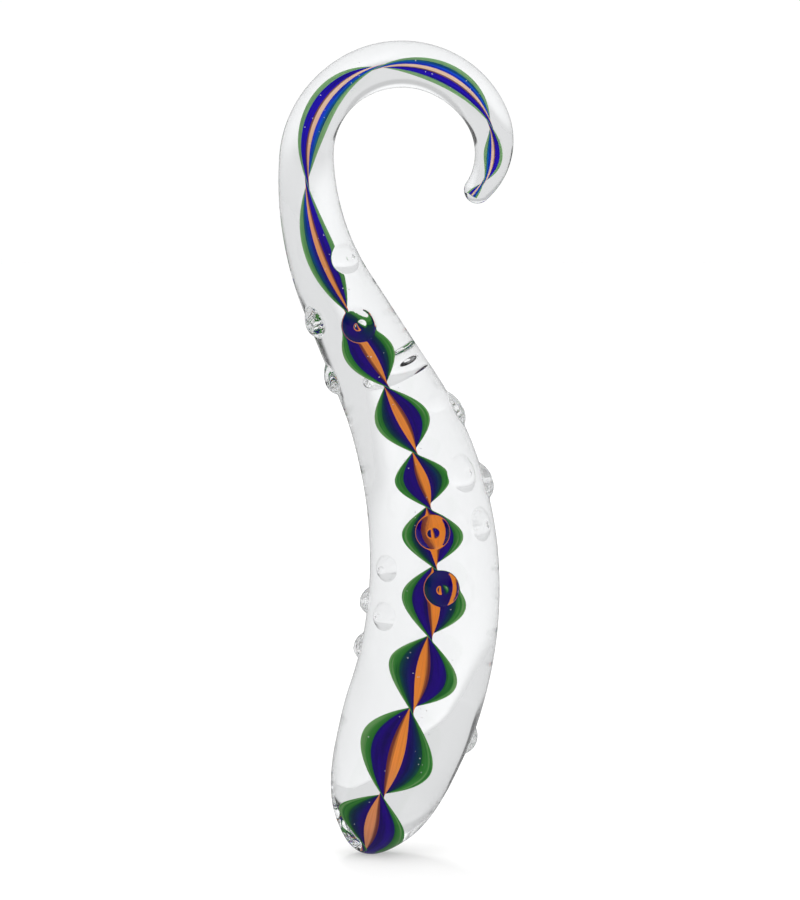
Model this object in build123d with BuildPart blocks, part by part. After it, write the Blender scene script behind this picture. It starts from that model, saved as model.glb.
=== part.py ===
"""Curved massage wand of clear borosilicate glass, worked by hand at the lamp.

The wand is one flat S-curve: a rounded foot, a thick grip that tapers upwards, and a hook to hold it by.
A ribbon of coloured glass lies along its middle and turns about the centreline: a green strip with a cobalt
strip and an orange stripe on both of its faces. Small drops of clear glass, the nubs, stand on the outside.

Frame: millimetres, +Z up along the wand, the curve in the XZ plane with the hook's tip towards +X, and the
origin under the middle of the glass, at the height of its lowest point.

"s" is always the distance along the centreline from the foot's end.
"""

from build123d import *
from math import cos, radians, sin, sqrt
import os

# Centreline, from the foot upwards. Turns are in degrees.
FOOT_LEAN = 18.9  # to the right of straight up
FOOT_LENGTH = 39.3  # straight
BELLY_RADIUS = 100.7
BELLY_TURN = 46.5  # to the left
SHANK_LENGTH = 26.6  # straight
NECK_RADIUS = 71.7
NECK_TURN = 28.7  # to the right
HOOK_RADIUS = 23.7
HOOK_TURN = 152.2  # to the right, over the top
CURL_RADIUS = 16.4
CURL_TURN = 68.0  # to the right, down to the tip
TIP_RADIUS = 3.35

# Places along the wand are given for this distance from the foot's end to the middle of the tip's ball. If the
# centreline gets longer or shorter, they all move with it in proportion.
STATION_LENGTH = 265.96

# Outer radius of the clear glass at places along the wand.
GLASS_RADII = (
    (0, 0),
    (4, 7.2),
    (10, 11.5),
    (16, 13.8),
    (24.5, 15.5),
    (39, 16.75),
    (56, 16.65),
    (78, 16.1),
    (102, 14.5),
    (126, 11.75),
    (145, 9.9),
    (164, 8.1),
    (184, 6.75),
    (206, 5.85),
    (230, 5.8),
    (249, 5.2),
    (STATION_LENGTH, TIP_RADIUS),
)
GLASS_SECTION_SPACING = 6.5
END_PROFILE_STEPS = 16
PLACING_STEPS = 400  # how finely the bent glass is searched for its lowest and widest points

# Ribbon. It is seen edge-on at the ends of its half turns, whose lengths are given from the foot upwards.
RIBBON_START = 2.0
RIBBON_TIP_COVER = 2.0  # clear glass between the ribbon and the tip's end
RIBBON_EDGE_COVER = 0.9  # least clear glass beside the ribbon's edges
FIRST_EDGE_ON = 2.8
HALF_TURNS = (14.2, 21.8, 19.0, 17.6, 15.0, 14.1, 18.0, 21.1, 33.9, 36.8, 34.2, 14.9)
SECTIONS_PER_HALF_TURN = 6
RIBBON_WIDTHS = (
    (3, 12.0),
    (28, 13.3),
    (48, 12.2),
    (67, 11.0),
    (83, 10.4),
    (98, 9.4),
    (113, 9.1),
    (132, 8.3),
    (152, 5.6),
    (196, 5.0),
    (231, 4.2),
    (256, 3.3),
    (STATION_LENGTH, 2.5),
)
GREEN_THICKNESS = (0.16, 0.030)  # a fixed part, and a share of the ribbon's width
COBALT_THICKNESS = (0.26, 0.010)
ORANGE_THICKNESS = (0.36, 0.004)
COBALT_SHARE = 0.68  # of the ribbon's width
ORANGE_SHARE = 0.20
FUSE_GAP = 0.03  # between layers, and between the ribbon and the clear glass around it

# Nubs: place along the wand, angle round the centreline (0 faces -Y and 90 faces the hook's open side), root radius, height.
NUBS = (
    (35.7, 92, 3.6, 1.5),
    (51.8, -91, 3.9, 1.8),
    (51.8, -140, 4.1, 1.9),
    (61.0, 124, 4.2, 1.9),
    (62.8, -48, 4.1, 2.0),
    (65.4, -94, 4.0, 2.1),
    (71.4, 6, 4.4, 2.1),
    (76.4, -48, 3.8, 1.9),
    (77.0, 128, 4.1, 1.9),
    (85.4, 1, 4.3, 2.1),
    (85.4, 52, 3.9, 1.8),
    (93.9, 90, 4.1, 2.0),
    (97.4, 44, 4.5, 1.8),
    (101.5, 134, 4.1, 1.9),
    (111.0, 88, 4.2, 1.6),
    (112.0, 155, 4.0, 1.9),
    (124.2, 171, 4.0, 1.9),
    (130.4, -79, 4.1, 1.9),
    (139.6, 8, 4.3, 2.1),
    (145.1, -57, 4.1, 1.9),
    (156.3, 41, 4.2, 1.8),
)
NUB_CUT_REACH = 8.0  # both ways along the centreline
NUB_CUT_SECTIONS = 5


def smooth(stations, place):
    """A smooth value through (place, value) stations that never overshoots them."""
    places = [p for p, _ in stations]
    values = [v for _, v in stations]
    slopes = [(values[i + 1] - values[i]) / (places[i + 1] - places[i]) for i in range(len(stations) - 1)]
    tangents = [slopes[0]]
    for before, after in zip(slopes, slopes[1:]):
        tangents.append(2 * before * after / (before + after) if before * after > 0 else 0.0)
    tangents.append(slopes[-1])
    place = min(max(place, places[0]), places[-1])
    i = max(k for k in range(len(slopes)) if places[k] <= place)
    span = places[i + 1] - places[i]
    t = (place - places[i]) / span
    value = values[i] * (1 + 2 * t) * (1 - t) ** 2 + values[i + 1] * (3 - 2 * t) * t * t
    return value + span * t * (1 - t) * (tangents[i] * (1 - t) - tangents[i + 1] * t)


def evenly(first, last, count):
    """Places from first to last, in count equal steps."""
    return [first + (last - first) * i / count for i in range(count + 1)]


def draw_centreline(start):
    with BuildLine(Plane.XZ) as centreline:
        foot = PolarLine(start, FOOT_LENGTH, 90 - FOOT_LEAN)
        belly = JernArc(foot @ 1, foot % 1, BELLY_RADIUS, BELLY_TURN)
        shank = Line(belly @ 1, (belly @ 1) + (belly % 1) * SHANK_LENGTH)
        neck = JernArc(shank @ 1, shank % 1, NECK_RADIUS, -NECK_TURN)
        hook = JernArc(neck @ 1, neck % 1, HOOK_RADIUS, -HOOK_TURN)
        curl = JernArc(hook @ 1, hook % 1, CURL_RADIUS, -CURL_TURN)
        Line(curl @ 1, (curl @ 1) + (curl % 1) * TIP_RADIUS)
    return centreline.wires()[0]


def frame_at(wire, s, angle=0.0):
    """The plane across the wire at s. Its X axis points to the right of the way up, turned back by angle."""
    centre = wire.position_at(s, PositionMode.LENGTH)
    ahead = wire.tangent_at(s, PositionMode.LENGTH)
    right = Vector(ahead.Z, 0, -ahead.X)
    back = Vector(0, 1, 0)
    turn = radians(angle)
    return Plane(origin=centre, x_dir=right * cos(turn) + back * sin(turn), z_dir=ahead)


trial = draw_centreline((0, 0))
glass_end = trial.length
tip_middle = glass_end - TIP_RADIUS
stretch = tip_middle / STATION_LENGTH

# The squared radius is what runs smoothly, so both ends of the glass come out round.
squared_radii = [(place * stretch, radius * radius) for place, radius in GLASS_RADII]
ribbon_widths = [(place * stretch, width) for place, width in RIBBON_WIDTHS]


def glass_radius(s):
    return sqrt(max(smooth(squared_radii, s), 0))


def placed_centreline():
    """The centreline moved so that the glass stands on Z = 0 and its sides are equally far from X = 0."""
    lefts, rights, lows = [], [], []
    for s in evenly(0, tip_middle, PLACING_STEPS):
        across = frame_at(trial, s)
        reach = across.x_dir * glass_radius(s)
        lefts.append(across.origin.X - abs(reach.X))
        rights.append(across.origin.X + abs(reach.X))
        lows.append(across.origin.Z - abs(reach.Z))
    return draw_centreline((-(min(lefts) + max(rights)) / 2, -min(lows)))


path = placed_centreline()


def turned_end(end, length, radius_at, lean):
    """A solid turned about the line from an end plane inwards: radius_at gives its radius at a height over it."""
    heights = [length * t * t for t in evenly(0, 1, END_PROFILE_STEPS)]
    with BuildPart() as turned:
        with BuildSketch(Plane(origin=end.origin, x_dir=end.x_dir, z_dir=end.z_dir.cross(end.x_dir) * -1)):
            with BuildLine():
                Spline([(radius_at(h), h) for h in heights], tangents=((1, 0), (lean, 1)))
                Polyline((radius_at(length), length), (0, length), (0, 0))
            make_face()
        revolve(axis=Axis(end.origin, end.z_dir))
    return turned.part


def tip_radius_at(height):
    return sqrt(TIP_RADIUS**2 - (TIP_RADIUS - height) ** 2)


foot_end = frame_at(path, 0)
tip_end = frame_at(path, glass_end)
tip_end = Plane(origin=tip_end.origin, x_dir=tip_end.x_dir, z_dir=-tip_end.z_dir)
foot_lean = (glass_radius(FOOT_LENGTH + 1) - glass_radius(FOOT_LENGTH - 1)) / 2
foot_glass = turned_end(foot_end, FOOT_LENGTH, glass_radius, foot_lean)
tip_glass = turned_end(tip_end, TIP_RADIUS, tip_radius_at, 0)

# Outside of the clear glass: a turned foot and a turned tip, with the bent grip and hook drawn between them.
with BuildPart() as outside:
    bend_length = tip_middle - FOOT_LENGTH
    for s in evenly(FOOT_LENGTH, tip_middle, round(bend_length / GLASS_SECTION_SPACING)):
        with BuildSketch(frame_at(path, s)):
            Circle(glass_radius(s))
    loft()
    add(foot_glass)
    add(tip_glass)

edge_on_places = [FIRST_EDGE_ON * stretch]
for length in HALF_TURNS:
    edge_on_places.append(edge_on_places[-1] + length * stretch)
turn_stations = [(place, count) for count, place in enumerate(edge_on_places)]
turn_stations.insert(0, ((FIRST_EDGE_ON - HALF_TURNS[0]) * stretch, -1))
turn_stations.append((edge_on_places[-1] + HALF_TURNS[-1] * stretch, len(HALF_TURNS) + 1))
ribbon_end = glass_end - RIBBON_TIP_COVER


def ribbon_angle(s):
    """The way the ribbon's width points at s. It turns as a left-hand screw does."""
    return 90 - 180 * smooth(turn_stations, s)


def ribbon_width(s):
    return min(smooth(ribbon_widths, s), 2 * (glass_radius(s) - RIBBON_EDGE_COVER))


def layer_thickness(layer, width):
    fixed, share = layer
    return fixed + share * width


def ribbon_places():
    """Where the ribbon's sections stand: its two ends and equal steps of every half turn between."""
    stops = []
    for first, last in zip(edge_on_places, edge_on_places[1:]):
        stops += evenly(first, last, SECTIONS_PER_HALF_TURN)[:-1]
    stops = [s for s in stops if RIBBON_START + 1 < s < ribbon_end - 1]
    return [RIBBON_START] + stops + [ribbon_end]


def layer_levels(width):
    """Heights above the ribbon's middle plane at its centreline: green, cobalt, orange and the clear glass."""
    green_top = layer_thickness(GREEN_THICKNESS, width) / 2
    cobalt_top = green_top + FUSE_GAP + layer_thickness(COBALT_THICKNESS, width)
    orange_top = cobalt_top + FUSE_GAP + layer_thickness(ORANGE_THICKNESS, width)
    return green_top, cobalt_top, orange_top, orange_top + FUSE_GAP


def lens_outline(half_width, half_height):
    """Two arcs that meet at both edges of a strip."""
    ThreePointArc((-half_width, 0), (0, half_height), (half_width, 0))
    ThreePointArc((half_width, 0), (0, -half_height), (-half_width, 0))


def stripe_outline(half_width, edge, low, high, side):
    """A stripe that lies on a bulging face: both arcs start at the edge height and bulge to low and high."""
    ThreePointArc((-half_width, side * edge), (0, side * low), (half_width, side * edge))
    ThreePointArc((half_width, side * edge), (0, side * high), (-half_width, side * edge))


def green_outline(width, _side):
    lens_outline(width / 2, layer_levels(width)[0])


def cobalt_outline(width, side):
    green_top, cobalt_top, _, _ = layer_levels(width)
    edge = green_top * (1 - COBALT_SHARE**2) + FUSE_GAP
    stripe_outline(COBALT_SHARE * width / 2, edge, green_top + FUSE_GAP, cobalt_top, side)


def orange_outline(width, side):
    green_top, cobalt_top, orange_top, _ = layer_levels(width)
    cobalt_edge = green_top * (1 - COBALT_SHARE**2) + FUSE_GAP
    fall = (cobalt_top - cobalt_edge) * (ORANGE_SHARE / COBALT_SHARE) ** 2
    edge = cobalt_top - fall + FUSE_GAP
    stripe_outline(ORANGE_SHARE * width / 2, edge, cobalt_top + FUSE_GAP, orange_top, side)


def envelope_outline(width, _side):
    lens_outline(width / 2 + 2 * FUSE_GAP, layer_levels(width)[3])


def twisted_strip(outline, side=1, end_gap=0.0):
    """Lofts an outline along the centreline, turning with the ribbon."""
    places = ribbon_places()
    places[0] -= end_gap
    places[-1] += end_gap
    with BuildPart() as strip:
        for s in places:
            with BuildSketch(frame_at(path, s, ribbon_angle(s))):
                with BuildLine():
                    outline(ribbon_width(s), side)
                make_face()
        loft()
    return strip.part


strips = {
    "green_ribbon": twisted_strip(green_outline),
    "cobalt_stripe_a": twisted_strip(cobalt_outline, 1),
    "cobalt_stripe_b": twisted_strip(cobalt_outline, -1),
    "orange_stripe_a": twisted_strip(orange_outline, 1),
    "orange_stripe_b": twisted_strip(orange_outline, -1),
}
ribbon_envelope = twisted_strip(envelope_outline, end_gap=FUSE_GAP)

with BuildPart() as clear_body:
    add(outside.part)
    add(ribbon_envelope, mode=Mode.SUBTRACT)
clear_body.part.label = "clear_body"

os.makedirs("parts", exist_ok=True)
export_step(clear_body.part, "parts/clear_body.step")
for name, strip in strips.items():
    strip.label = name
    export_step(strip, f"parts/{name}.step")


def glass_near(place, angle):
    """The clear glass on both sides of a place, with its seam away from that angle."""
    with BuildPart() as length_of_glass:
        for s in evenly(place - NUB_CUT_REACH, place + NUB_CUT_REACH, NUB_CUT_SECTIONS - 1):
            with BuildSketch(frame_at(path, s, angle + 90)):
                Circle(glass_radius(s) + FUSE_GAP)
        loft()
    return length_of_glass.part


def nub(place, angle, root_radius, height):
    """A drop of clear glass: a ball that the wand's glass is cut away from, which leaves a cap on it.

    The ball's seam and poles face inwards, so the cap is one plain piece of the ball.
    """
    across = frame_at(path, place)
    turn = radians(angle)
    outward = across.x_dir * sin(turn) - Vector(0, 1, 0) * cos(turn)
    ball_radius = (root_radius**2 + height**2) / (2 * height)
    middle = across.origin + outward * (glass_radius(place) + height - ball_radius)
    glass = glass_near(place, angle)
    with BuildPart() as drop:
        with Locations(Plane(origin=middle, x_dir=-outward, z_dir=across.z_dir)):
            Sphere(ball_radius)
        add(glass, mode=Mode.SUBTRACT)
    return drop.part


for number, (place, angle, root_radius, height) in enumerate(NUBS, start=1):
    drop = nub(place * stretch, angle, root_radius, height)
    drop.label = f"nub_{number:02d}"
    export_step(drop, f"parts/{drop.label}.step")
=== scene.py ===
"""The looks of a curved glass massage wand, built round its CAD frame.

Every glass piece is made straight first, standing along Z with the distance from the foot's end as its
height. It is then bent along the wand's centreline by a Curve modifier, which is applied. Lengths are in
millimetres until a point is made of them.
"""

import math
import random

import bmesh
import bpy
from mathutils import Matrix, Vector


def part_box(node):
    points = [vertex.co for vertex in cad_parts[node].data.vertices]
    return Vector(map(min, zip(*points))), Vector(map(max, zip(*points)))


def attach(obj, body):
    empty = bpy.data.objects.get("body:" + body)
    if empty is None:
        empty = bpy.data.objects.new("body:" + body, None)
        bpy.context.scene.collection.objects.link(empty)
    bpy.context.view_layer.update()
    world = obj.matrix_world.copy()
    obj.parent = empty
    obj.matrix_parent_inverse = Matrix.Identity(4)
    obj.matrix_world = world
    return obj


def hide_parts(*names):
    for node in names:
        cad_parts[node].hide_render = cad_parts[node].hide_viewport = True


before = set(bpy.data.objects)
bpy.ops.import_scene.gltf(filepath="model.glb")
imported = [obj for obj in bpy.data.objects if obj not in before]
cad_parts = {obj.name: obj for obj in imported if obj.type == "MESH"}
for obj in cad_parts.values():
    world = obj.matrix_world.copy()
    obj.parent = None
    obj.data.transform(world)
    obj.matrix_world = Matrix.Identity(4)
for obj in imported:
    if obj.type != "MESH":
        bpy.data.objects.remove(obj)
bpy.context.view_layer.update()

MM = 0.001

# ---------------------------------------------------------------- the wand's own sizes, as in its CAD model

FOOT_LEAN = 18.9  # degrees to the right of straight up
# Length of each stretch of the centreline, and its turn in degrees, to the right or (negative) to the left
STRETCHES = (
    (39.3, 0.0),
    (100.7 * math.radians(46.5), -46.5),
    (26.6, 0.0),
    (71.7 * math.radians(28.7), 28.7),
    (23.7 * math.radians(152.2), 152.2),
    (16.4 * math.radians(68.0), 68.0),
    (3.35, 0.0),
)
TIP_RADIUS = 3.35
WAND_LENGTH = sum(length for length, _ in STRETCHES)
TIP_MIDDLE = WAND_LENGTH - TIP_RADIUS

GLASS_RADII = (
    (0, 0), (4, 7.2), (10, 11.5), (16, 13.8), (24.5, 15.5), (39, 16.75), (56, 16.65), (78, 16.1), (102, 14.5),
    (126, 11.75), (145, 9.9), (164, 8.1), (184, 6.75), (206, 5.85), (230, 5.8), (249, 5.2), (266, TIP_RADIUS),
)

RIBBON_START = 2.0
RIBBON_TIP_COVER = 2.0
RIBBON_EDGE_COVER = 0.9
FIRST_EDGE_ON = 2.8
HALF_TURNS = (14.2, 21.8, 19.0, 17.6, 15.0, 14.1, 18.0, 21.1, 33.9, 36.8, 34.2, 14.9)
RIBBON_WIDTHS = (
    (3, 12.0), (28, 13.3), (48, 12.2), (67, 11.0), (83, 10.4), (98, 9.4), (113, 9.1), (132, 8.3), (152, 5.6),
    (196, 5.0), (231, 4.2), (256, 3.3), (266, 2.5),
)
COBALT_SHARE = 0.68
ORANGE_SHARE = 0.20

# Nubs: place, angle (0 faces the viewer, 90 the hook's open side), root radius, height, sag towards the foot
NUBS = (
    (35.7, 92, 3.6, 1.5, 0.3),
    (51.8, -91, 3.9, 1.8, 0.6),
    (51.8, -140, 4.1, 1.9, 0.4),
    (61.0, 124, 4.2, 1.9, 0.5),
    (62.8, -48, 4.1, 2.0, 0.5),
    (65.4, -94, 4.0, 2.1, 0.6),
    (71.4, 6, 4.4, 2.1, 0.2),
    (76.4, -48, 3.8, 1.9, 0.4),
    (77.0, 128, 4.1, 1.9, 0.3),
    (85.4, 1, 4.3, 2.1, 0.2),
    (85.4, 52, 3.9, 1.8, 0.5),
    (93.9, 90, 4.1, 2.0, 0.4),
    (97.4, 44, 4.5, 1.8, 0.3),
    (101.5, 134, 4.1, 1.9, 0.4),
    (111.0, 88, 4.2, 1.6, 0.5),
    (112.0, 155, 4.0, 1.9, 0.2),
    (124.2, 171, 4.0, 1.9, 0.3),
    (130.4, -79, 4.1, 1.9, 0.7),
    (139.6, 8, 4.3, 2.1, 0.2),
    (145.1, -57, 4.1, 1.9, 0.7),
    (156.3, 41, 4.2, 1.8, 0.3),
)

# The layers' thicknesses: a fixed part and a share of the ribbon's width. The CAD layers are thicker.
GREEN_THICKNESS = (0.16, 0.020)
COBALT_THICKNESS = (0.06, 0.006)
ORANGE_THICKNESS = (0.06, 0.002)
LAYER_GAP = 0.01

BUBBLES = 170
BUBBLE_RADII = (0.06, 0.13)
FIRST_BUBBLE = (30, 3, -2.4)  # along the wand, to the right, behind
BUBBLE_PLACES = (8, 255)
# How far from the ribbon's middle line, along its width and off its middle plane, as shares of its width
BUBBLE_ASIDE = 0.45
BUBBLE_OFF = (0.08, 0.2)
BUBBLE_SEED = 7

# ---------------------------------------------------------------- how fine the meshes are

LINE_STEP = 0.5
GLASS_AROUND = 128
GLASS_ROW = 0.9
FOOT_ROWS_LENGTH = 8
FOOT_ROWS = 14
TIP_ROWS = 10
ROOT_FILLET = 0.55
ROOT_RING = 0.35
ROOT_STEPS = 5
CAP_STEPS = 9
WINDOW_MARGIN = 0.7
PATCH_MARGIN = 3.0
RIBBON_ROW = 0.6
RIBBON_ACROSS = 14
GLASS_WELD = 1e-6  # metres, as the next one
RIBBON_WELD = 1e-8
CREASE = 40.0

# ---------------------------------------------------------------- glass, stage, light and camera

GLASS_IOR = 1.47
OWN_LIGHT = 0.3

VIEW_HEIGHT = 225 * MM
VIEW_MIDDLE = Vector((1, 0, 102)) * MM
CAMERA_RISE = 5.0
CAMERA_LENS = 200.0
CAMERA_SENSOR = 36.0
CAMERA_REACH = 20

FLOOR_SIZE = 6
FLOOR_LIGHT = 0.32

TENT_WHITE = 1.02
TENT_DIM = 0.80
TENT_TOP = 0.75
CARD_DARKNESS = 0.96
MIRROR_DARKNESS = 0.8
# Where each change begins and ends, as a part of a direction of length 1, upwards unless it says sideways
WALL_FALL = (0.40, 0.50)
TOP_RISE = (0.60, 0.80)
CARDS_END = (0.50, 0.60)
RIGHT_CARD = ((0.62, 0.70), (0.14, 0.20))  # sideways, upwards
LEFT_CARD = ((-0.79, -0.84), (0.09, 0.15))  # sideways, upwards

# Name, place, size in metres, power in watts
LIGHTS = (
    ("key", (-0.15, 1.2, 1.1), 0.4, 8.6),
    ("front_left", (-1.0, -1.5, 0.6), 1.1, 8.0),
    ("front_right", (1.0, -1.5, 0.6), 1.1, 8.0),
)
GLASS_BOUNCES = 48
DIFFUSE_BOUNCES = 3


def smooth(stations, place):
    """A smooth value through (place, value) stations that never overshoots them."""
    places = [p for p, _ in stations]
    values = [v for _, v in stations]
    slopes = [(values[i + 1] - values[i]) / (places[i + 1] - places[i]) for i in range(len(stations) - 1)]
    tangents = [slopes[0]]
    for before, after in zip(slopes, slopes[1:]):
        tangents.append(2 * before * after / (before + after) if before * after > 0 else 0.0)
    tangents.append(slopes[-1])
    place = min(max(place, places[0]), places[-1])
    i = max(k for k in range(len(slopes)) if places[k] <= place)
    span = places[i + 1] - places[i]
    t = (place - places[i]) / span
    value = values[i] * (1 + 2 * t) * (1 - t) ** 2 + values[i + 1] * (3 - 2 * t) * t * t
    return value + span * t * (1 - t) * (tangents[i] * (1 - t) - tangents[i + 1] * t)


def evenly(first, last, count):
    return [first + (last - first) * i / count for i in range(count + 1)]


squared_radii = [(place, radius * radius) for place, radius in GLASS_RADII]


def glass_radius(s):
    """The clear glass's radius at s. The tip is half a ball."""
    if s > TIP_MIDDLE:
        return math.sqrt(max(TIP_RADIUS**2 - (s - TIP_MIDDLE) ** 2, 0))
    return math.sqrt(max(smooth(squared_radii, s), 0))


edge_on_places = [FIRST_EDGE_ON]
for half_turn in HALF_TURNS:
    edge_on_places.append(edge_on_places[-1] + half_turn)
turn_stations = [(FIRST_EDGE_ON - HALF_TURNS[0], -1)]
turn_stations += [(place, count) for count, place in enumerate(edge_on_places)]
turn_stations.append((edge_on_places[-1] + HALF_TURNS[-1], len(HALF_TURNS) + 1))


def ribbon_angle(s):
    """The way the ribbon's width points at s, in radians. It turns as a left-hand screw does."""
    return math.radians(90 - 180 * smooth(turn_stations, s))


def ribbon_width(s):
    return min(smooth(RIBBON_WIDTHS, s), 2 * (glass_radius(s) - RIBBON_EDGE_COVER))


# ---------------------------------------------------------------- straight to bent


def beside(s, right, back):
    """A point of the straight wand, to the right of and behind the centreline at s."""
    return Vector((back, -right, s)) * MM


def on_ribbon(s, across, off):
    """A point of the straight wand, by its distances along the ribbon's width and off its middle plane."""
    turn = ribbon_angle(s)
    right = across * math.cos(turn) - off * math.sin(turn)
    back = across * math.sin(turn) + off * math.cos(turn)
    return beside(s, right, back)


def on_glass(s, angle, radius):
    """A point of the straight wand at an angle in degrees (0 faces the viewer) round the centreline."""
    turn = math.radians(angle)
    return beside(s, radius * math.sin(turn), -radius * math.cos(turn))


def walk_centreline():
    """(s, x, z, heading in radians) in small steps from the foot's end, which is at (0, 0)."""
    s, x, z, heading = 0.0, 0.0, 0.0, math.radians(FOOT_LEAN)
    stops = [(s, x, z, heading)]
    for length, turn in STRETCHES:
        count = math.ceil(length / LINE_STEP)
        for _ in range(count):
            heading += math.radians(turn) / count / 2
            x += math.sin(heading) * length / count
            z += math.cos(heading) * length / count
            heading += math.radians(turn) / count / 2
            s += length / count
            stops.append((s, x, z, heading))
    return stops


def draw_centreline():
    """The curve that the pieces are bent along, placed so that the bent glass fills its CAD node's box."""
    stops = walk_centreline()
    left = min(x - glass_radius(s) * abs(math.cos(heading)) for s, x, z, heading in stops)
    low = min(z - glass_radius(s) * abs(math.sin(heading)) for s, x, z, heading in stops)
    corner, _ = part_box("clear_body")
    curve = bpy.data.curves.new("centreline", "CURVE")
    curve.dimensions = "3D"
    curve.twist_mode = "MINIMUM"
    line = curve.splines.new("POLY")
    line.points.add(len(stops) - 1)
    for point, (_, x, z, _) in zip(line.points, stops):
        point.co = (corner.x + (x - left) * MM, 0, corner.z + (z - low) * MM, 1)
    drawn = bpy.data.objects.new("centreline", curve)
    bpy.context.scene.collection.objects.link(drawn)
    return drawn


def only(piece):
    """Makes one object the only selected one, and the active one."""
    bpy.ops.object.select_all(action="DESELECT")
    piece.select_set(True)
    bpy.context.view_layer.objects.active = piece


def named(name):
    """The object that was just added, under its own name."""
    piece = bpy.context.object
    piece.name = name
    piece.data.name = name
    return piece


def bend(piece):
    only(piece)
    modifier = piece.modifiers.new("bend", "CURVE")
    modifier.object = centreline
    modifier.deform_axis = "POS_Z"
    bpy.ops.object.modifier_apply(modifier="bend")


def close_up(weld):
    """In edit mode: welds doubles and turns all the faces outwards."""
    bpy.ops.mesh.select_all(action="SELECT")
    bpy.ops.mesh.remove_doubles(threshold=weld)
    bpy.ops.mesh.normals_make_consistent(inside=False)


def finish_piece(piece, slot, finish, *nodes):
    piece.data.materials.clear()
    piece.data.materials.append(finish)
    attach(piece, "root")
    if nodes:
        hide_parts(*nodes)


# ---------------------------------------------------------------- finishes


class Value:
    """A shader socket that takes part in Python expressions: each operator adds a Math node."""

    def __init__(self, graph, socket):
        self.graph = graph
        self.socket = socket

    def _math(self, operation, *terms):
        return self.graph.node("ShaderNodeMath", {"operation": operation}, dict(enumerate(terms)))

    def __add__(self, other):
        return self._math("ADD", self, other)

    def __sub__(self, other):
        return self._math("SUBTRACT", self, other)

    def __rsub__(self, other):
        return self._math("SUBTRACT", other, self)

    def __mul__(self, other):
        return self._math("MULTIPLY", self, other)

    def __abs__(self):
        return self._math("ABSOLUTE", self)


class Graph:
    """The nodes of a material or of the world."""

    def __init__(self, owner):
        owner.use_nodes = True
        self.owner = owner
        self.tree = owner.node_tree
        self.tree.nodes.clear()

    def node(self, kind, settings=None, sockets=None, out=0):
        """Adds any node, sets it up and gives one of its outputs."""
        made = self.tree.nodes.new(kind)
        for key, value in (settings or {}).items():
            if key == "stops":
                elements = made.color_ramp.elements
                while len(elements) < len(value):
                    elements.new(1.0)
                for element, (position, colour) in zip(elements, value):
                    element.position = position
                    element.color = (*colour, 1)
            else:
                setattr(made, key, value)
        for key, value in (sockets or {}).items():
            if isinstance(value, Value):
                self.tree.links.new(value.socket, made.inputs[key])
            else:
                made.inputs[key].default_value = value
        return Value(self, made.outputs[out]) if made.outputs else None

    def ramp(self, at, *stops):
        return self.node("ShaderNodeValToRGB", {"stops": stops}, {"Fac": at})

    def steps(self, at, first, last, low=0.0, high=1.0):
        """A number that goes smoothly from low to high as another goes from first to last."""
        sockets = {"Value": at, "From Min": first, "From Max": last, "To Min": low, "To Max": high}
        return self.node("ShaderNodeMapRange", {"interpolation_type": "SMOOTHSTEP"}, sockets)

    def mix(self, share, one, other):
        colours = [c if isinstance(c, Value) else (*c, 1) for c in (one, other)]
        sockets = {0: share, 6: colours[0], 7: colours[1]}
        return self.node("ShaderNodeMix", {"data_type": "RGBA"}, sockets, out=2)

    def object_place(self):
        return self.node("ShaderNodeTexCoord", out="Object")

    def ribbon_place(self):
        """(across the ribbon from -1 to 1, along the wand in metres)."""
        uv = self.node("ShaderNodeUVMap", {"uv_map": "ribbon"})
        across = self.node("ShaderNodeSeparateXYZ", {}, {0: uv}, out="X")
        along = self.node("ShaderNodeSeparateXYZ", {}, {0: uv}, out="Y")
        return across * 2 - 1, along * WAND_LENGTH * MM

    def noise(self, at, scale, detail=3.0, roughness=0.5):
        sockets = {"Vector": at, "Scale": scale, "Detail": detail, "Roughness": roughness}
        return self.node("ShaderNodeTexNoise", {}, sockets)

    def streaks(self, across, along, fine):
        """Noise drawn out along the ribbon."""
        place = self.node("ShaderNodeCombineXYZ", {}, {"X": across * fine, "Y": along * 55})
        return self.noise(place, 1.0, detail=4.0, roughness=0.6)

    def bump(self, height, strength, distance):
        sockets = {"Height": height, "Strength": strength, "Distance": distance}
        return self.node("ShaderNodeBump", {}, sockets)

    def surface(self, sockets):
        shader = self.node("ShaderNodeBsdfPrincipled", {}, sockets)
        self.node("ShaderNodeOutputMaterial", {}, {"Surface": shader})
        return self.owner


def new_finish(name):
    return Graph(bpy.data.materials.new(name))


def clear_glass_finish():
    glass = new_finish("clear_glass")
    waves = glass.noise(glass.object_place(), 55.0, detail=1.0)
    clouds = glass.noise(glass.object_place(), 20.0)
    tint = glass.ramp(clouds, (0.3, (0.72, 0.728, 0.735)), (0.7, (0.75, 0.758, 0.765)))
    sockets = {
        "Base Color": tint,
        "Transmission Weight": 1.0,
        "IOR": GLASS_IOR,
        "Roughness": 0.0,
        "Normal": glass.bump(waves, 0.1, 0.001),
    }
    return glass.surface(sockets)


def inner_glass(glass, colour):
    """Coloured glass inside clear glass: no gloss of its own, because the two have one refractive index.

    The little light of its own stands for what shines through the thin glass from behind.
    """
    sockets = {
        "Base Color": colour,
        "Roughness": 0.9,
        "Specular IOR Level": 0.0,
        "Emission Color": colour,
        "Emission Strength": OWN_LIGHT,
    }
    return glass.surface(sockets)


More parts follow.
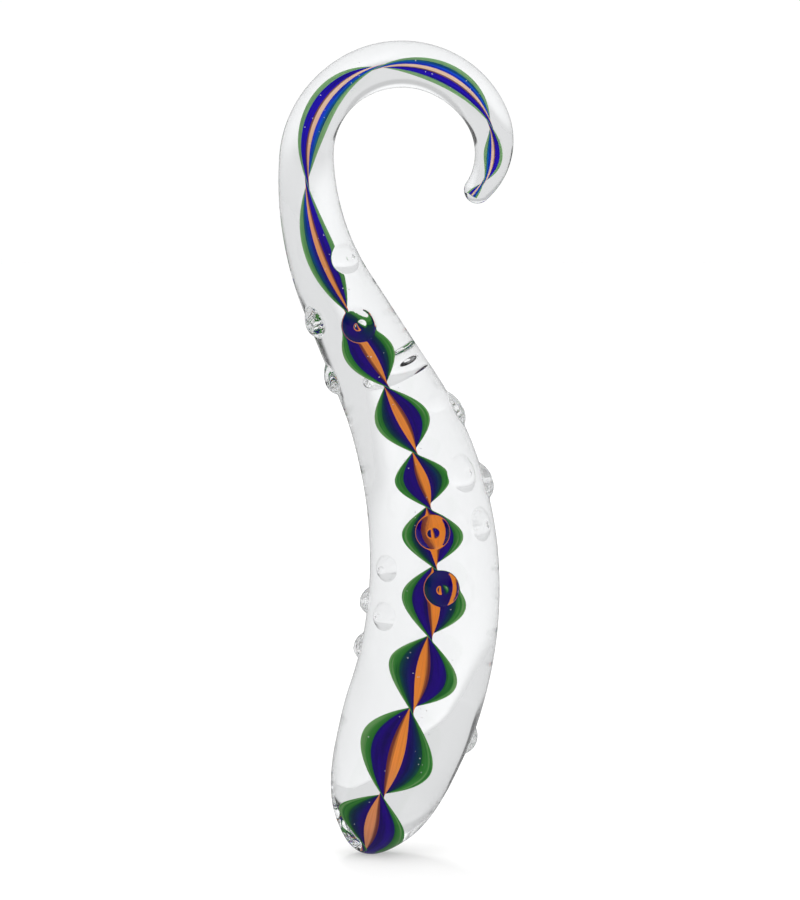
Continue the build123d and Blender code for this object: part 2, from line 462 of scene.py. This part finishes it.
def green_finish():
    green = new_finish("green_glass")
    across, along = green.ribbon_place()
    threads = green.streaks(across, along, 14.0)
    edge = abs(across)
    body = green.ramp(
        edge + (threads - 0.5) * 1.8 * green.steps(edge, 0.6, 1.0),
        (0.0, (0.005, 0.02, 0.01)),
        (0.66, (0.012, 0.11, 0.022)),
        (0.76, (0.035, 0.22, 0.035)),
        (0.88, (0.070, 0.30, 0.055)),
        (1.0, (0.26, 0.52, 0.19)),
    )
    drawn = green.mix(green.steps(along, 0.13, 0.20, 0.0, 0.55), body, (0.42, 0.68, 0.36))
    dark_threads = green.steps(threads, 0.42, 0.62, 0.0, 0.5)
    return inner_glass(green, green.mix(dark_threads, drawn, (0.012, 0.11, 0.015)))


def cobalt_finish():
    cobalt = new_finish("cobalt_glass")
    across, along = cobalt.ribbon_place()
    across = across * -1
    threads = cobalt.streaks(across, along, 6.0)
    from_edge = across * (0.5 / COBALT_SHARE) + 0.5
    body = cobalt.ramp(
        from_edge + (threads - 0.5) * 0.06,
        (0.0, (0.008, 0.004, 0.15)),
        (0.10, (0.018, 0.000, 0.24)),
        (0.50, (0.014, 0.000, 0.13)),
        (0.72, (0.016, 0.001, 0.17)),
        (0.86, (0.002, 0.018, 0.10)),
        (1.0, (0.004, 0.070, 0.040)),
    )
    bright = cobalt.ramp(
        from_edge,
        (0.0, (0.016, 0.002, 0.48)),
        (0.6, (0.014, 0.001, 0.55)),
        (0.80, (0.002, 0.075, 0.72)),
        (1.0, (0.006, 0.160, 0.16)),
    )
    drawn = cobalt.mix(cobalt.steps(along, 0.14, 0.19), body, bright)
    dark_threads = cobalt.steps(threads, 0.40, 0.68, 0.0, 0.6)
    return inner_glass(cobalt, cobalt.mix(dark_threads, drawn, (0.004, 0.001, 0.05)))


def orange_finish():
    orange = new_finish("orange_glass")
    across, along = orange.ribbon_place()
    threads = orange.streaks(across, along, 30.0)
    lengthwise = orange.ramp(
        along * (1 / (WAND_LENGTH * MM)),
        (0.02, (0.80, 0.32, 0.17)),
        (0.10, (0.95, 0.30, 0.05)),
        (0.30, (0.96, 0.27, 0.03)),
        (0.55, (0.80, 0.28, 0.07)),
        (0.66, (0.88, 0.46, 0.24)),
        (0.75, (0.95, 0.68, 0.50)),
    )
    aside = across * (1 / ORANGE_SHARE)
    soft_side = orange.steps(aside + (threads - 0.5) * 0.6, 0.15, 0.75, 0.0, 0.9)
    drawn = orange.mix(orange.steps(threads, 0.42, 0.65, 0.0, 0.35), lengthwise, (0.62, 0.15, 0.03))
    return inner_glass(orange, orange.mix(soft_side, drawn, (0.10, 0.012, 0.03)))


def bubble_finish():
    bubble = new_finish("seed_bubble")
    shade = bubble.noise(bubble.object_place(), 900.0)
    return inner_glass(bubble, bubble.ramp(shade, (0.3, (0.55, 0.55, 0.6)), (0.7, (0.95, 0.95, 0.95))))


# ---------------------------------------------------------------- the clear glass and its nubs


def glass_rows():
    rows = [FOOT_ROWS_LENGTH * t * t for t in evenly(0, 1, FOOT_ROWS)]
    rows += evenly(FOOT_ROWS_LENGTH, TIP_MIDDLE, round((TIP_MIDDLE - FOOT_ROWS_LENGTH) / GLASS_ROW))[1:]
    rows += [TIP_MIDDLE + TIP_RADIUS * math.sin(math.radians(turn)) for turn in evenly(0, 90, TIP_ROWS)[1:]]
    return rows


def turn_glass():
    """The outside of the clear glass, straight: half its outline, spun round Z."""
    bpy.ops.object.select_all(action="DESELECT")
    bpy.ops.mesh.primitive_plane_add(size=MM)
    body = named("clear_glass_body")
    bpy.ops.object.mode_set(mode="EDIT")
    bpy.ops.mesh.select_all(action="SELECT")
    bpy.ops.mesh.merge(type="CENTER")
    work = bmesh.from_edit_mesh(body.data)
    for s in glass_rows():
        if s > 0:
            bpy.ops.mesh.extrude_vertices_move()
        for vert in work.verts:
            if vert.select:
                vert.co = beside(s, -glass_radius(s), 0)
    bpy.ops.mesh.select_all(action="SELECT")
    bpy.ops.mesh.spin(steps=GLASS_AROUND, angle=2 * math.pi, center=(0, 0, 0), axis=(0, 0, 1))
    close_up(GLASS_WELD)
    return body


def nub_rings(root, height):
    """(distance from its middle, height over the glass) from outside inwards: a fillet, then a cap."""
    ball = (root**2 + height**2) / (2 * height)
    sunk = height - ball
    reach = math.sqrt((ball + ROOT_FILLET) ** 2 - (ROOT_FILLET - sunk) ** 2)
    meet = math.atan2(ROOT_FILLET - sunk, reach)
    rings = [(reach + ROOT_RING, 0.0)]
    for turn in evenly(0, math.pi / 2 - meet, ROOT_STEPS):
        rings.append((reach - ROOT_FILLET * math.sin(turn), ROOT_FILLET * (1 - math.cos(turn))))
    for turn in evenly(meet, math.pi / 2, CAP_STEPS)[1:-1]:
        rings.append((ball * math.cos(turn), sunk + ball * math.sin(turn)))
    return rings


def from_nub(point, place, angle):
    """(along, across) the unrolled glass from a nub's middle to a point of the straight wand."""
    way = math.degrees(math.atan2(-point.y, -point.x))
    apart = math.radians((way - angle + 180) % 360 - 180)
    return point.z / MM - place, apart * glass_radius(place)


def select_round_nubs(work, nubs, margin):
    """Selects the faces within a nub's outermost ring and a margin round it."""
    reaches = []
    for place, angle, root, height, _ in nubs:
        reaches.append((place, angle, nub_rings(root, height)[0][0] + margin))
    for face in work.faces:
        middle = face.calc_center_median()
        face.select = any(
            abs(middle.z / MM - place) < reach and math.hypot(*from_nub(middle, place, angle)) < reach
            for place, angle, reach in reaches
        )


def raise_nub(patches, nub):
    """Draws a window of the straight glass inwards, ring by ring, and closes it at the nub's top."""
    place, angle, root, height, sag = nub
    rings = nub_rings(root, height)

    def lay(distance, rise, way):
        s = place + distance * math.cos(way) - sag * (1 - distance / rings[0][0])
        turn = math.degrees(distance * math.sin(way) / glass_radius(place))
        return on_glass(s, angle + turn, glass_radius(s) + rise)

    bpy.ops.mesh.select_all(action="DESELECT")
    work = bmesh.from_edit_mesh(patches.data)
    select_round_nubs(work, [nub], WINDOW_MARGIN)
    shift = 0.0
    for distance, rise in rings:
        bpy.ops.mesh.extrude_region_move()
        window = [face for face in work.faces if face.select]
        rim = {vert for face in window for vert in face.verts if any(not f.select for f in vert.link_faces)}
        for vert in rim:
            along, across = from_nub(vert.co, place, angle)
            vert.co = lay(distance, rise, math.atan2(across, along + shift))
        shift = sag * (1 - distance / rings[0][0])
    bpy.ops.mesh.merge(type="CENTER")
    for vert in work.verts:
        if vert.select:
            vert.co = lay(0.0, height, 0.0)


def make_clear_glass():
    """The wand's glass: the patches round its nubs are cut out, drawn up to nubs, and joined in again."""
    body = turn_glass()
    bpy.ops.mesh.select_mode(type="FACE")
    bpy.ops.mesh.select_all(action="DESELECT")
    select_round_nubs(bmesh.from_edit_mesh(body.data), NUBS, PATCH_MARGIN)
    bpy.ops.mesh.separate(type="SELECTED")
    bpy.ops.object.mode_set(mode="OBJECT")
    patches = next(piece for piece in bpy.context.selected_objects if piece is not body)
    only(patches)
    bpy.ops.object.mode_set(mode="EDIT")
    for nub in NUBS:
        raise_nub(patches, nub)
    bpy.ops.object.mode_set(mode="OBJECT")
    only(body)
    patches.select_set(True)
    bpy.ops.object.join()
    bpy.ops.object.mode_set(mode="EDIT")
    close_up(GLASS_WELD)
    bpy.ops.object.mode_set(mode="OBJECT")
    bpy.ops.object.shade_smooth()
    bend(body)
    nubs = [f"nub_{number:02d}" for number in range(1, len(NUBS) + 1)]
    finish_piece(body, "clear_glass", clear_glass_finish(), "clear_body", *nubs)


# ---------------------------------------------------------------- the coloured ribbon


def thickness(layer, width):
    fixed, share = layer
    return fixed + share * width


def layer_profile(layer, width):
    """(half width, height at the edge, low and high at the middle) of a layer of the ribbon."""
    green_top = thickness(GREEN_THICKNESS, width) / 2
    if layer == "green":
        return width / 2, 0.0, -green_top, green_top
    cobalt_edge = green_top * (1 - COBALT_SHARE**2) + LAYER_GAP
    cobalt_top = green_top + LAYER_GAP + thickness(COBALT_THICKNESS, width)
    if layer == "cobalt":
        return COBALT_SHARE * width / 2, cobalt_edge, green_top + LAYER_GAP, cobalt_top
    fall = (cobalt_top - cobalt_edge) * (ORANGE_SHARE / COBALT_SHARE) ** 2
    orange_top = cobalt_top + LAYER_GAP + thickness(ORANGE_THICKNESS, width)
    return ORANGE_SHARE * width / 2, cobalt_top - fall + LAYER_GAP, cobalt_top + LAYER_GAP, orange_top


def make_strip(name, layer, side, slot, finish, node):
    """A strip of coloured glass: a sheet rolled into the layer's section and twisted with the ribbon."""
    first, last = RIBBON_START, WAND_LENGTH - RIBBON_TIP_COVER
    rows = round((last - first) / RIBBON_ROW)
    around = 2 * RIBBON_ACROSS
    bpy.ops.object.select_all(action="DESELECT")
    bpy.ops.mesh.primitive_grid_add(x_subdivisions=around, y_subdivisions=rows, size=1)
    strip = named(name)
    spread = {}
    for vert in strip.data.vertices:
        column = round((vert.co.x + 0.5) * around)
        s = first + (last - first) * (vert.co.y + 0.5)
        over = column <= RIBBON_ACROSS
        step = column if over else around - column
        share = -math.cos(math.pi * step / RIBBON_ACROSS)
        half_width, edge, low, high = layer_profile(layer, ribbon_width(s))
        middle = high if over else low
        height = side * (edge + (middle - edge) * (1 - share * share))
        across = share * half_width
        vert.co = on_ribbon(s, across, height)
        spread[vert.index] = (0.5 + across / ribbon_width(s), s / WAND_LENGTH)
    strip.data.uv_layers[0].name = "ribbon"
    for loop, uv in zip(strip.data.loops, strip.data.uv_layers["ribbon"].data):
        uv.uv = spread[loop.vertex_index]
    bpy.ops.object.mode_set(mode="EDIT")
    bpy.ops.mesh.select_all(action="SELECT")
    bpy.ops.mesh.remove_doubles(threshold=RIBBON_WELD)
    bpy.ops.mesh.select_all(action="DESELECT")
    bpy.ops.mesh.select_mode(type="EDGE")
    bpy.ops.mesh.select_non_manifold()
    bpy.ops.mesh.edge_face_add()
    close_up(RIBBON_WELD)
    bpy.ops.object.mode_set(mode="OBJECT")
    bend(strip)
    bpy.ops.object.shade_smooth_by_angle(angle=math.radians(CREASE))
    finish_piece(strip, slot, finish, node)


def make_ribbon():
    cobalt, orange = cobalt_finish(), orange_finish()
    make_strip("green_ribbon_strip", "green", 1, "green_glass", green_finish(), "green_ribbon")
    for letter, side in (("a", 1), ("b", -1)):
        for layer, finish in (("cobalt", cobalt), ("orange", orange)):
            strip, node = f"{layer}_strip_{letter}", f"{layer}_stripe_{letter}"
            make_strip(strip, layer, side, f"{layer}_glass", finish, node)


# ---------------------------------------------------------------- seed bubbles


def add_bubble(radius, place):
    bpy.ops.mesh.primitive_ico_sphere_add(subdivisions=2, radius=radius * MM, location=place)


def make_bubbles():
    """Tiny bubbles trapped beside the ribbon where the clear glass was gathered over it."""
    draw = random.Random(BUBBLE_SEED)
    bpy.ops.object.select_all(action="DESELECT")
    add_bubble(BUBBLE_RADII[0], beside(*FIRST_BUBBLE))
    bubbles = named("seed_bubbles")
    bpy.ops.object.transform_apply(location=True)
    bpy.ops.object.mode_set(mode="EDIT")
    for _ in range(BUBBLES):
        s = draw.uniform(*BUBBLE_PLACES)
        across = draw.uniform(-BUBBLE_ASIDE, BUBBLE_ASIDE) * ribbon_width(s)
        off = draw.choice((-1, 1)) * draw.uniform(*BUBBLE_OFF) * ribbon_width(s)
        add_bubble(draw.uniform(*BUBBLE_RADII), on_ribbon(s, across, off))
    bpy.ops.object.mode_set(mode="OBJECT")
    bpy.ops.object.shade_smooth()
    bend(bubbles)
    finish_piece(bubbles, "clear_glass", bubble_finish())


# ---------------------------------------------------------------- the stage


def set_camera():
    camera = bpy.data.cameras.new("camera")
    camera.lens = CAMERA_LENS
    camera.sensor_width = CAMERA_SENSOR
    camera.clip_end = CAMERA_REACH
    placed = bpy.data.objects.new("camera", camera)
    bpy.context.scene.collection.objects.link(placed)
    rise = math.radians(CAMERA_RISE)
    back = Vector((0, -math.cos(rise), math.sin(rise)))
    placed.location = VIEW_MIDDLE + back * (VIEW_HEIGHT * CAMERA_LENS / CAMERA_SENSOR)
    placed.rotation_mode = "QUATERNION"
    placed.rotation_quaternion = (-back).to_track_quat("-Z", "Y")
    bpy.context.scene.camera = placed


def lay_floor():
    bpy.ops.object.select_all(action="DESELECT")
    bpy.ops.mesh.primitive_plane_add(size=FLOOR_SIZE)
    floor = named("floor")
    paper = new_finish("white_floor")
    shade = paper.noise(paper.object_place(), 30.0)
    tone = paper.ramp(shade, (0.3, (0.60, 0.60, 0.60)), (0.7, (0.62, 0.62, 0.62)))
    sockets = {
        "Base Color": tone,
        "Roughness": 0.9,
        "Specular IOR Level": 0.0,
        "Emission Color": (1, 1, 1, 1),
        "Emission Strength": FLOOR_LIGHT,
    }
    floor.data.materials.append(paper.surface(sockets))
    floor.visible_glossy = False


def soft_light(name, place, size, power):
    """A round light that is seen neither directly nor in or through the glass."""
    light = bpy.data.lights.new(name, "AREA")
    light.shape = "DISK"
    light.size = size
    light.energy = power
    placed = bpy.data.objects.new(name, light)
    bpy.context.scene.collection.objects.link(placed)
    placed.location = place
    placed.rotation_mode = "QUATERNION"
    placed.rotation_quaternion = (VIEW_MIDDLE - placed.location).to_track_quat("-Z", "Y")
    placed.visible_camera = False
    placed.visible_glossy = False
    placed.visible_transmission = False


def light_tent():
    """White all round, with a dark card on each side that draws the glass's dark edges.

    Mirror reflections see a dim room instead, so that no haze lies over the deep colours.
    """
    world = bpy.data.worlds.new("light_tent")
    bpy.context.scene.world = world
    tent = Graph(world)
    way = tent.node("ShaderNodeTexCoord", out="Generated")
    right = tent.node("ShaderNodeSeparateXYZ", {}, {0: way}, out="X")
    up = tent.node("ShaderNodeSeparateXYZ", {}, {0: way}, out="Z")
    wall = tent.steps(up, *WALL_FALL, TENT_WHITE, TENT_DIM)
    top = tent.steps(up, *TOP_RISE, 0.0, TENT_TOP)
    cards = 0.0
    for sideways, upwards in (RIGHT_CARD, LEFT_CARD):
        cards = tent.steps(right, *sideways) * tent.steps(up, *upwards) + cards
    cards = cards * tent.steps(up, *CARDS_END, 1.0, 0.0)
    glossy = tent.node("ShaderNodeLightPath", out="Is Glossy Ray")
    mirrored = glossy * (1 - tent.node("ShaderNodeLightPath", out="Is Transmission Ray"))
    strength = (wall + top) * (1 - cards * CARD_DARKNESS) * (1 - mirrored * MIRROR_DARKNESS)
    light = tent.node("ShaderNodeBackground", {}, {"Color": (1, 1, 1, 1), "Strength": strength})
    tent.node("ShaderNodeOutputWorld", {}, {"Surface": light})


def light_scene():
    light_tent()
    for light in LIGHTS:
        soft_light(*light)
    view = bpy.context.scene.view_settings
    view.view_transform = "Standard"
    cycles = bpy.context.scene.cycles
    cycles.max_bounces = GLASS_BOUNCES
    cycles.transmission_bounces = GLASS_BOUNCES
    cycles.glossy_bounces = GLASS_BOUNCES
    cycles.diffuse_bounces = DIFFUSE_BOUNCES


# ---------------------------------------------------------------- the scene

set_camera()
centreline = draw_centreline()
make_clear_glass()
make_ribbon()
make_bubbles()
bpy.data.objects.remove(centreline)
lay_floor()
light_scene()
